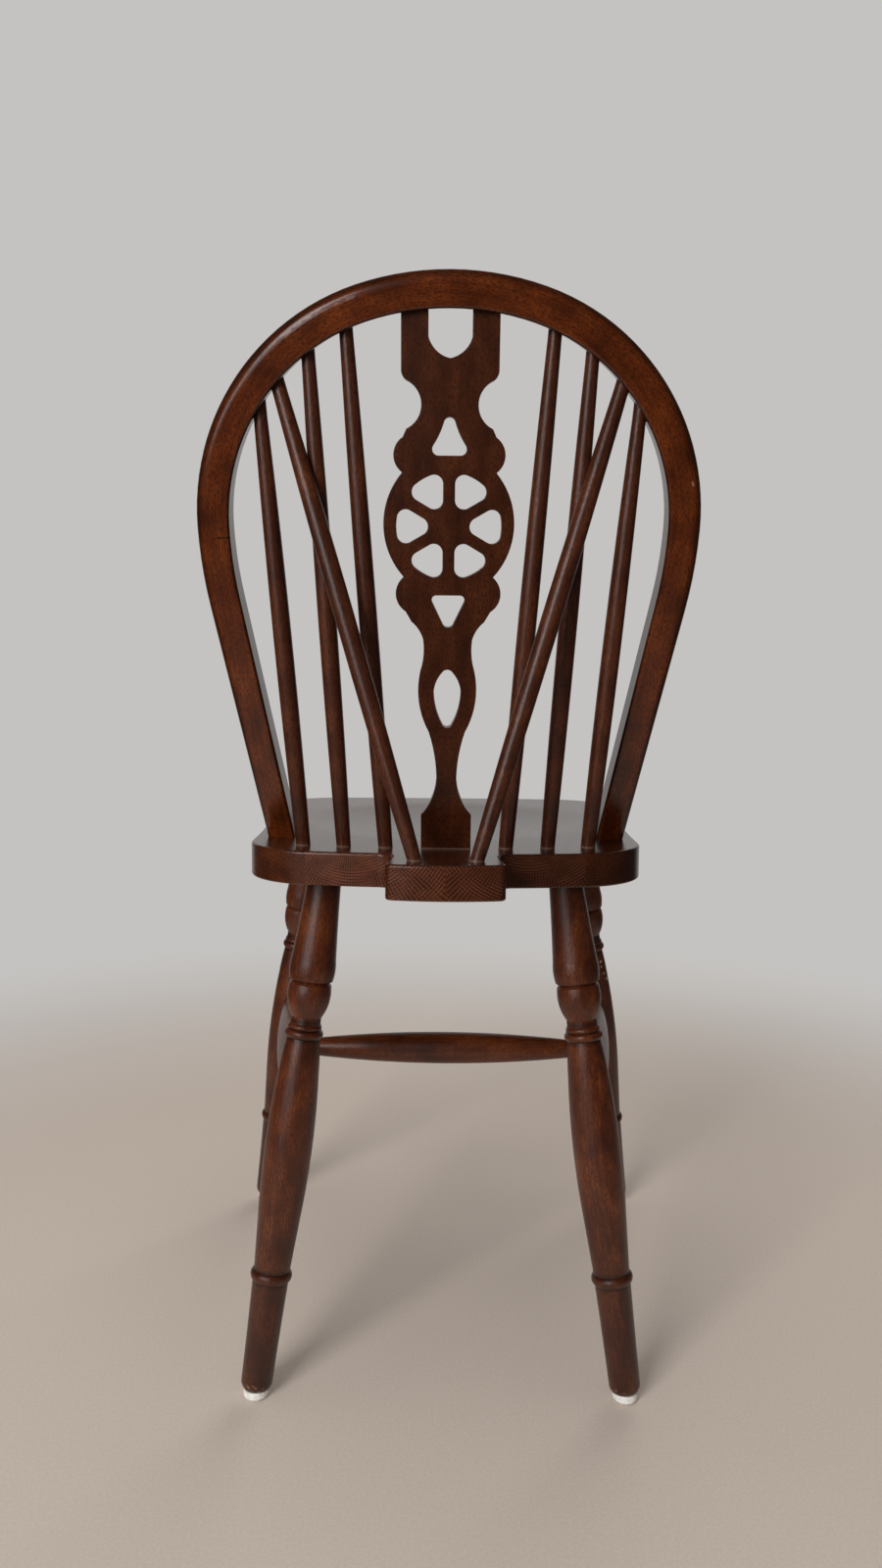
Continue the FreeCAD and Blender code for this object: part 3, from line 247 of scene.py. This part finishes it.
# Each board's middle, the pair that places its rings, its tones, and its end's pale lines and how strong
# their rings and rays are
inner_tones = ("#251008", "#3b1b0d", "#4d2613")
outer_tones = ("#291107", "#411d0d", "#562a13")
seat_low, seat_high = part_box("seat_board_inner_left")
seat_boards = (
    ("seat_board_outer_left", 0.130, (18.0, 46.0), outer_tones, "#593020", 0.3, 0.15),
    ("seat_board_inner_left", 0.052, (-17.0, 50.0), inner_tones, "#693a26", 0.9, 0.4),
    ("seat_board_inner_right", -0.052, (10.0, 55.0), inner_tones, "#693a26", 0.9, 0.4),
    ("seat_board_outer_right", -0.130, (-22.0, -52.0), outer_tones, "#5a2f1a", 0.3, 0.15),
)
for node, middle, pair, tones, pale, ringed, rayed in seat_boards:
    along = straight((middle, seat_high.y, (seat_low.z + seat_high.z) / 2), (0, 1, 0))
    dress(node, stained_beech(node + "_beech", along, pair, tones, gloss=0.2, ring=3.4, relief=0.12,
                              detail=end_grain(pair, pale, ringed, rayed)))


# Legs
# Four beech legs turned between centres from squares, all to one pattern, driven into blind sockets
# under the seat. The turned grooves are darker, and the highlights run down the lathe's rounds.
# The feet are a little knocked just above the glides, down to the pale wood.

# Each groove's height up the leg and half its width, in millimetres, and how dark it is
grooves = (
    (94.0, 2.6, "#8a8078"),
    (103.6, 2.6, "#8a8078"),
    (289.6, 3.0, "#7c7068"),
    (297.2, 1.8, "#8a8078"),
    (303.5, 4.0, "#7c7068"),
    (335.2, 1.2, "#c0b8b0"),
    (420.0, 14.0, "#9a9088"),
)
leg_long = 450.0
# Painted shade toward the foot: its colour, and the heights up the leg where it starts and where it is full
foot_shade_colour = "#1c0b05"
foot_shade_from = 190.0
foot_shade_to = 50.0
knocked_wood = "#a98462"
knocked_high = 15.0
knocked_low = 9.0


def turned(tree, where, colour):
    """Darker in the grooves, painted shade darkening toward the foot, and a few pale chips at the foot."""
    up = add(tree, "ShaderNodeSeparateXYZ", {"Vector": where}).outputs["Z"]
    share = add(tree, "ShaderNodeMath", {0: up, 1: leg_long}, operation="DIVIDE").outputs[0]
    plain = linear("#ffffff")
    stops = []
    for at, half, shade in grooves:
        stops.append(((at - half) / leg_long, plain))
        stops.append((at / leg_long, linear(shade)))
        stops.append((min((at + half) / leg_long, 1.0), plain))
    groove_darkening = add(tree, "ShaderNodeValToRGB", {"Fac": share}, stops).outputs["Color"]
    colour = add(tree, "ShaderNodeMix", {"Factor": 1.0, 6: colour, 7: groove_darkening},
                 data_type="RGBA", blend_type="MULTIPLY").outputs[2]
    # Painted shade: the lower leg darkens from 190 mm down to 50 mm up the leg
    darker = add(tree, "ShaderNodeMapRange",
                 {"Value": up, "From Min": foot_shade_from, "From Max": foot_shade_to,
                  "To Min": 0.0, "To Max": 0.5}).outputs["Result"]
    colour = add(tree, "ShaderNodeMix", {"Factor": darker, 6: colour, 7: linear(foot_shade_colour)},
                 data_type="RGBA").outputs[2]
    knocks = add(tree, "ShaderNodeTexNoise", {"Vector": where, "Scale": 0.42, "Detail": 2.0}).outputs["Fac"]
    low = add(tree, "ShaderNodeMapRange",
              {"Value": up, "From Min": knocked_high, "From Max": knocked_low,
               "To Min": 0.0, "To Max": 1.0}).outputs["Result"]
    deep = add(tree, "ShaderNodeMapRange",
               {"Value": knocks, "From Min": 0.6, "From Max": 0.63,
                "To Min": 0.0, "To Max": 0.8}).outputs["Result"]
    chipped = add(tree, "ShaderNodeMath", {0: deep, 1: low}, operation="MULTIPLY").outputs[0]
    return add(tree, "ShaderNodeMix", {"Factor": chipped, 6: colour, 7: linear(knocked_wood)},
               data_type="RGBA").outputs[2]


def spot(tree, centre, turn, reach):
    """How much a point belongs to a small mark: an ellipsoid at its centre, turned, in metres, that fades
    over the outer half of its reach."""
    here = add(tree, "ShaderNodeTexCoord", {}).outputs["Object"]
    near = add(tree, "ShaderNodeMapping",
               {"Vector": here, "Location": centre, "Rotation": turn, "Scale": reach},
               vector_type="TEXTURE").outputs["Vector"]
    away = add(tree, "ShaderNodeVectorMath", {0: near}, operation="LENGTH").outputs["Value"]
    return add(tree, "ShaderNodeMapRange",
               {"Value": away, "From Min": 1.0, "From Max": 0.5,
                "To Min": 0.0, "To Max": 1.0}).outputs["Result"]


# The middle and the reach of each knock in the front right leg, below its beads
bared_wood = "#b39a8c"
knocks_below_beads = (
    ((-0.1657, -0.1762, 0.2765), 0.0018),
    ((-0.1664, -0.1759, 0.2710), 0.0012),
    ((-0.1697, -0.1780, 0.2637), 0.0013),
    ((-0.1731, -0.1810, 0.2572), 0.0018),
)


def knocked(tree, where, colour):
    """A leg that is also knocked down to the pale wood in a short row below its beads."""
    colour = turned(tree, where, colour)
    for centre, reach in knocks_below_beads:
        bare = spot(tree, centre, (0.0, 0.0, 0.0), (reach, 3 * reach, reach))
        colour = add(tree, "ShaderNodeMix", {"Factor": bare, 6: colour, 7: linear(bared_wood)},
                     data_type="RGBA").outputs[2]
    return colour


# Each pair of legs: where its axis meets the floor, and how it leans. Each leg comes from another part
# of the trunk, so its rings lie elsewhere
leg_tones = ("#331407", "#54250d", "#6e3818")
legs = (
    ("rear", 0.1487, 0.13535, -0.127, -0.094),
    ("front", 0.1924, -0.20865, -0.131, 0.073),
)
for number, (end, out, back, splay, rake) in enumerate(legs):
    for side, sign in (("left", 1), ("right", -1)):
        node = "leg_%s_%s" % (end, side)
        axis = straight((sign * out, back, 0.0), (sign * splay, rake, 1.0))
        from_pith = (22.0 + 7.0 * number * sign, 35.0 - 14.0 * sign)
        dress(node, stained_beech(node + "_beech", axis, from_pith, leg_tones, gloss=0.33, ring=2.4,
                                  relief=0.24, detail=knocked if node == "leg_front_right" else turned))


# Stretchers
# Two side stretchers between front and rear legs and a cross stretcher between them, all beech, turned
# with a long even swell, their ends glued into drilled sockets.

end_slice = 0.004


def ends(node, way):
    """The middles of a piece's two ends, its lowest and highest along X, Y or Z."""
    low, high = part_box(node)
    found = []
    for level in (low[way], high[way]):
        near = [v.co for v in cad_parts[node].data.vertices if abs(v.co[way] - level) < end_slice]
        found.append(sum(near, Vector()) / len(near))
    return found


stretchers = (("side_stretcher_left", 1), ("side_stretcher_right", 1), ("cross_stretcher", 0))
for number, (node, way) in enumerate(stretchers):
    first, last = ends(node, way)
    from_pith = (15.0 - 9.0 * number, 26.0)
    dress(node, stained_beech(node + "_beech", straight(first, last - first), from_pith, leg_tones,
                              gloss=0.32, ring=2.2))


# Glides and nails
# A moulded white polythene disc under each foot, scuffed and greyed by the floor in patches of about
# 4 mm. A zinc-plated wire nail, hidden inside, holds it.

glide, tree, shader = blank("white_polythene")
here = add(tree, "ShaderNodeTexCoord", {}).outputs["Object"]
grime = add(tree, "ShaderNodeTexNoise",
            {"Vector": here, "Scale": 260.0, "Detail": 4.0, "Roughness": 0.6}).outputs["Fac"]
soiled = add(tree, "ShaderNodeValToRGB", {"Fac": grime},
             [(0.42, linear("#efeeea")), (0.6, linear("#dfdcd5")),
              (0.72, linear("#b3aca0"))]).outputs["Color"]
scuffed = add(tree, "ShaderNodeMapRange",
              {"Value": grime, "From Min": 0.3, "From Max": 0.7,
               "To Min": 0.42, "To Max": 0.62}).outputs["Result"]
moulded = add(tree, "ShaderNodeBump",
              {"Height": grime, "Strength": 0.15, "Distance": 0.0004}).outputs["Normal"]
tree.links.new(soiled, shader.inputs["Base Color"])
tree.links.new(scuffed, shader.inputs["Roughness"])
tree.links.new(moulded, shader.inputs["Normal"])
for end in ("rear", "front"):
    for side in ("left", "right"):
        dress("glide_%s_%s" % (end, side), glide)

# Drawing leaves marks along the wire, a third of a millimetre wide
nail, tree, shader = blank("zinc_plated_wire")
here = add(tree, "ShaderNodeTexCoord", {}).outputs["Object"]
drawn_wire = add(tree, "ShaderNodeMapping",
                 {"Vector": here, "Scale": (3000.0, 3000.0, 120.0)}).outputs["Vector"]
die_marks = add(tree, "ShaderNodeTexNoise",
                {"Vector": drawn_wire, "Scale": 1.0, "Detail": 2.0}).outputs["Fac"]
plating = add(tree, "ShaderNodeValToRGB", {"Fac": die_marks},
              [(0.3, linear("#9a9ca0")), (0.7, linear("#c9cbce"))]).outputs["Color"]
tree.links.new(plating, shader.inputs["Base Color"])
shader.inputs["Metallic"].default_value = 1.0
shader.inputs["Roughness"].default_value = 0.35
dress("glide_nails", nail)


# Bow
# One beech rod, steamed and bent to a hoop, so the grain follows the bend. Its edges are rounded, the
# outer ones more, and its feet are glued into the seat. A fine crack crosses the left side, and the
# right shoulder has a small dent.

bow_tones = ("#331304", "#562409", "#6e330f")
bow_edge_shade = "#160802"
bow_lean = math.radians(18.0)
bow_face = (0.0, math.cos(bow_lean), -math.sin(bow_lean))
bow_widest = Vector((0.0, 0.16777, 0.679))
bow_radius = 168.0
bow_narrows = 0.12

# The middle, the turn and the reach of each mark
crack_dark = "#140602"
crack_across = ((0.1605, 0.1655, 0.6719), (0.0, 0.06, 0.0), (0.0105, 0.004, 0.0008))
crack_inner_end = ((0.1535, 0.1652, 0.6708), (0.0, -0.1, 0.0), (0.004, 0.003, 0.0009))
dent_wood = "#a87a5c"
dent_place = ((-0.1713, 0.178, 0.7105), (0.0, 0.3, 0.0), (0.0012, 0.002, 0.0026))


def bent(tree):
    """Grain that follows the hoop: X across its face, Y through its depth, Z along its bend. Above its
    widest level the hoop is round, and below it the two sides run down and slowly narrow."""
    flat = piece_coordinates(tree, bow_widest, (0.0, -math.cos(bow_lean), math.sin(bow_lean)))
    split = add(tree, "ShaderNodeSeparateXYZ", {"Vector": flat})
    out = add(tree, "ShaderNodeMath", {0: split.outputs["X"]}, operation="ABSOLUTE").outputs[0]
    above = add(tree, "ShaderNodeMath", {0: split.outputs["Y"], 1: 0.0}, operation="MAXIMUM").outputs[0]
    below = add(tree, "ShaderNodeMath", {0: split.outputs["Y"], 1: 0.0}, operation="MINIMUM").outputs[0]
    both = add(tree, "ShaderNodeCombineXYZ", {"X": out, "Y": above}).outputs[0]
    reach = add(tree, "ShaderNodeVectorMath", {0: both}, operation="LENGTH").outputs["Value"]
    across = add(tree, "ShaderNodeMath", {0: below, 1: -bow_narrows, 2: reach},
                 operation="MULTIPLY_ADD").outputs[0]
    turned_by = add(tree, "ShaderNodeMath", {0: above, 1: split.outputs["X"]}, operation="ARCTAN2").outputs[0]
    round_bend = add(tree, "ShaderNodeMath", {0: turned_by, 1: bow_radius, 2: below},
                     operation="MULTIPLY_ADD").outputs[0]
    return add(tree, "ShaderNodeCombineXYZ",
               {"X": across, "Y": split.outputs["Z"], "Z": round_bend}).outputs[0]


def bow_marks(tree, where, colour):
    """Painted shade on the rounded edges and the sides, where they turn from the face, a crack on one side, a
    dent on the other.
    """
    facing = add(tree, "ShaderNodeTexCoord", {}).outputs["Normal"]
    toward = add(tree, "ShaderNodeVectorMath", {0: facing, 1: bow_face},
                 operation="DOT_PRODUCT").outputs["Value"]
    square = add(tree, "ShaderNodeMath", {0: toward}, operation="ABSOLUTE").outputs[0]
    # Painted shade: the further the surface turns from the face, the darker it is painted
    edge = add(tree, "ShaderNodeMapRange",
               {"Value": square, "From Min": 0.96, "From Max": 0.7,
                "To Min": 0.0, "To Max": 0.6}).outputs["Result"]
    colour = add(tree, "ShaderNodeMix", {"Factor": edge, 6: colour, 7: linear(bow_edge_shade)},
                 data_type="RGBA").outputs[2]
    crack = add(tree, "ShaderNodeMath", {0: spot(tree, *crack_across), 1: spot(tree, *crack_inner_end)},
                operation="MAXIMUM").outputs[0]
    cracked = add(tree, "ShaderNodeMath", {0: crack, 1: 0.7}, operation="MULTIPLY").outputs[0]
    colour = add(tree, "ShaderNodeMix", {"Factor": cracked, 6: colour, 7: linear(crack_dark)},
                 data_type="RGBA").outputs[2]
    bared = add(tree, "ShaderNodeMath", {0: spot(tree, *dent_place), 1: 0.55},
                operation="MULTIPLY").outputs[0]
    return add(tree, "ShaderNodeMix", {"Factor": bared, 6: colour, 7: linear(dent_wood)},
               data_type="RGBA").outputs[2]


dress("bow", stained_beech("bow_beech", bent, (-135.0, 40.0), bow_tones, gloss=0.22, ring=2.8, ringed=0.1,
                           streak=0.2, relief=0.035, detail=bow_marks))


# Spindles and braces
# Six spindles and two braces, turned thickest half way up, their ends glued into drilled sockets in the
# seat and in the inside of the bow. Where each enters the seat, the lacquer stands in a thin fillet, and its
# glint is painted as a thin pale line.

seat_level = 0.445
line_top = 0.0017
line_full = 0.0008
glint_tone = "#8c7264"


def lacquer_glint_line(tree, where, colour):
    """A painted highlight: a thin pale line at the level of the seat, the glint of the lacquer fillet there.
    """
    here = add(tree, "ShaderNodeTexCoord", {}).outputs["Object"]
    level = add(tree, "ShaderNodeSeparateXYZ", {"Vector": here}).outputs["Z"]
    # Painted highlight: the pale band stands for the glint on the lacquer fillet
    line = add(tree, "ShaderNodeMapRange",
               {"Value": level, "From Min": seat_level + line_top, "From Max": seat_level + line_full,
                "To Min": 0.0, "To Max": 0.35}).outputs["Result"]
    return add(tree, "ShaderNodeMix", {"Factor": line, 6: colour, 7: linear(glint_tone)},
               data_type="RGBA").outputs[2]


stick_tones = ("#2d1308", "#472110", "#5c2f18")
sticks = ["spindle_%s_%s" % (kind, side)
          for side in ("left", "right") for kind in ("inner", "middle", "outer")]
sticks += ["brace_left", "brace_right"]
for number, node in enumerate(sticks):
    foot, top = ends(node, 2)
    from_pith = (12.0 + 5.0 * (number % 3), 24.0 - 6.0 * (number % 4))
    dress(node, stained_beech(node + "_beech", straight(foot, top - foot), from_pith, stick_tones,
                              gloss=0.33, ring=2.0, detail=lacquer_glint_line))


# Splat
# A flat-sawn beech board, fretsawn to its outline with a pierced wheel, its edges eased with sandpaper,
# let into the seat at its foot and into two slots in the bow at its prongs.

splat_eased = 0.0011
board = bpy.data.objects.new("splat_board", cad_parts["splat"].data.copy())
bpy.context.scene.collection.objects.link(board)
bpy.ops.object.select_all(action="DESELECT")
board.select_set(True)
bpy.context.view_layer.objects.active = board
bpy.ops.mesh.customdata_custom_splitnormals_clear()
bpy.ops.object.mode_set(mode="EDIT")
bpy.ops.mesh.select_all(action="SELECT")
bpy.ops.mesh.remove_doubles(threshold=0.00001)
bpy.ops.mesh.dissolve_limited(angle_limit=math.radians(1.0))
bpy.ops.object.mode_set(mode="OBJECT")
easing = board.modifiers.new("eased_edges", "BEVEL")
easing.width = splat_eased
easing.segments = 3
easing.limit_method = "ANGLE"
easing.angle_limit = math.radians(70.0)
bpy.ops.object.modifier_apply(modifier=easing.name)
bpy.ops.object.shade_smooth_by_angle(angle=math.radians(35.0))
flat_faces = board.modifiers.new("flat_faces", "WEIGHTED_NORMAL")
flat_faces.weight = 80
flat_faces.keep_sharp = True
bpy.ops.object.modifier_apply(modifier=flat_faces.name)

splat_tones = ("#271005", "#3e1b0a", "#512811")
splat_lean = math.radians(8.9)
splat_foot = Vector((0.0, 0.14775, seat_level))
splat_up = Vector((0.0, math.sin(splat_lean), math.cos(splat_lean)))
splat_beech = stained_beech("splat_beech", straight(splat_foot, splat_up), (6.0, 95.0), splat_tones,
                            gloss=0.22, ring=2.6, ringed=0.06, streak=0.12, relief=0.12,
                            detail=lacquer_glint_line)
board.data.materials.clear()
board.data.materials.append(splat_beech)
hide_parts("splat")
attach(board, "root")


# Floor
# A plain pale matt floor with a speckle of 2 to 3 mm. It fades into the backdrop between half a metre and
# a metre and a half from the chair's middle.

bpy.ops.mesh.primitive_circle_add(vertices=96, radius=3.0, fill_type="NGON")
floor = bpy.context.active_object
floor.name = "studio_floor"
pale_floor, tree, shader = blank("pale_floor")
here = add(tree, "ShaderNodeTexCoord", {}).outputs["Object"]
away = add(tree, "ShaderNodeVectorMath", {0: here}, operation="LENGTH").outputs["Value"]
faded = add(tree, "ShaderNodeMapRange",
            {"Value": away, "From Min": 0.5, "From Max": 1.5, "To Min": 0.0, "To Max": 1.0},
            interpolation_type="SMOOTHSTEP").outputs["Result"]
speckle = add(tree, "ShaderNodeTexNoise", {"Vector": here, "Scale": 400.0, "Detail": 2.0}).outputs["Fac"]
painted = add(tree, "ShaderNodeValToRGB", {"Fac": speckle},
              [(0.3, linear("#c8b9ac")), (0.7, linear("#cfc1b5"))]).outputs["Color"]
tree.links.new(painted, shader.inputs["Base Color"])
shader.inputs["Roughness"].default_value = 0.7
clear = add(tree, "ShaderNodeBsdfTransparent", {})
blend = add(tree, "ShaderNodeMixShader", {0: faded, 1: shader.outputs["BSDF"], 2: clear.outputs["BSDF"]})
tree.links.new(blend.outputs["Shader"], tree.nodes["Material Output"].inputs["Surface"])
floor.data.materials.append(pale_floor)


# Light
# A soft window behind the camera, to the image's left, with a smaller pane that is what the gloss shows
# of it, a low strip below it, weak light from overhead and from the front, and an even room. Gloss sees
# the pale backdrop straight in front of the chair, and a dark room everywhere else.

backdrop = "#c5c3c1"
world = bpy.data.worlds.new("studio")
bpy.context.scene.world = world
world.use_nodes = True
tree = world.node_tree
path = add(tree, "ShaderNodeLightPath", {})
room = add(tree, "ShaderNodeBackground", {"Color": linear("#dcdcdc"), "Strength": 0.27})
paper = add(tree, "ShaderNodeBackground", {"Color": linear(backdrop), "Strength": 1.0})
dim = add(tree, "ShaderNodeBackground", {"Color": linear("#322e2b"), "Strength": 1.0})
toward = add(tree, "ShaderNodeTexCoord", {}).outputs["Generated"]
depth = add(tree, "ShaderNodeSeparateXYZ", {"Vector": toward}).outputs["Y"]
dimmed = add(tree, "ShaderNodeMapRange",
             {"Value": depth, "From Min": -0.93, "From Max": -0.65, "To Min": 0.0, "To Max": 1.0},
             interpolation_type="SMOOTHSTEP").outputs["Result"]
mirrored = add(tree, "ShaderNodeMixShader", {0: dimmed, 1: paper.outputs[0], 2: dim.outputs[0]})
gloss_seen = add(tree, "ShaderNodeMath",
                 {0: path.outputs["Is Glossy Ray"], 1: path.outputs["Is Transmission Ray"]},
                 operation="MAXIMUM").outputs[0]
bounced = add(tree, "ShaderNodeMixShader", {0: gloss_seen, 1: room.outputs[0], 2: mirrored.outputs[0]})
either = add(tree, "ShaderNodeMixShader",
             {0: path.outputs["Is Camera Ray"], 1: bounced.outputs[0], 2: paper.outputs[0]})
tree.links.new(either.outputs[0], tree.nodes["World Output"].inputs["Surface"])

# Each lamp's place, the height it is aimed at above the origin, its width, height and watts, and whether
# gloss shows it and matt surfaces take its light
lamps = (
    ("window", (1.35, 2.4, 1.55), 0.45, 1.1, 1.4, 62.0, False, True),
    ("window_pane", (1.35, 2.39, 1.55), 0.45, 0.9, 1.1, 22.0, True, False),
    ("low_window", (1.45, 2.25, 0.62), 0.45, 1.8, 0.45, 8.0, True, True),
    ("ceiling", (0.2, 0.2, 2.6), 0.4, 2.2, 2.2, 16.0, False, True),
    ("front_wall", (-0.9, -2.3, 1.5), 0.45, 1.8, 1.4, 24.0, False, True),
)
for name, place, aim, width, height, watts, in_gloss, on_matt in lamps:
    lamp = bpy.data.lights.new(name, "AREA")
    lamp.shape = "RECTANGLE"
    lamp.size = width
    lamp.size_y = height
    lamp.energy = watts
    held = bpy.data.objects.new(name, lamp)
    held.location = place
    held.rotation_euler = (Vector((0.0, 0.0, aim)) - Vector(place)).to_track_quat("-Z", "Y").to_euler()
    held.visible_glossy = in_gloss
    held.visible_diffuse = on_matt
    bpy.context.scene.collection.objects.link(held)


# Camera
# Behind the chair at table height, looking slightly down, as a phone's main camera. Its focal length is
# 1150 of the picture's 1600 rows.

lens = bpy.data.cameras.new("phone")
lens.sensor_width = 36.0
lens.lens = 1150 / 1600 * lens.sensor_width
viewer = bpy.data.objects.new("phone", lens)
viewer.location = (0.003, 0.98615, 0.5759)
look_down = math.radians(5.55)
heading = math.radians(180.06)
roll = math.radians(0.5)
aimed = Euler((math.pi / 2 - look_down, 0.0, heading)).to_matrix() @ Euler((0.0, 0.0, roll)).to_matrix()
viewer.rotation_euler = aimed.to_euler()
bpy.context.scene.collection.objects.link(viewer)
bpy.context.scene.camera = viewer
bpy.context.scene.view_settings.view_transform = "Standard"
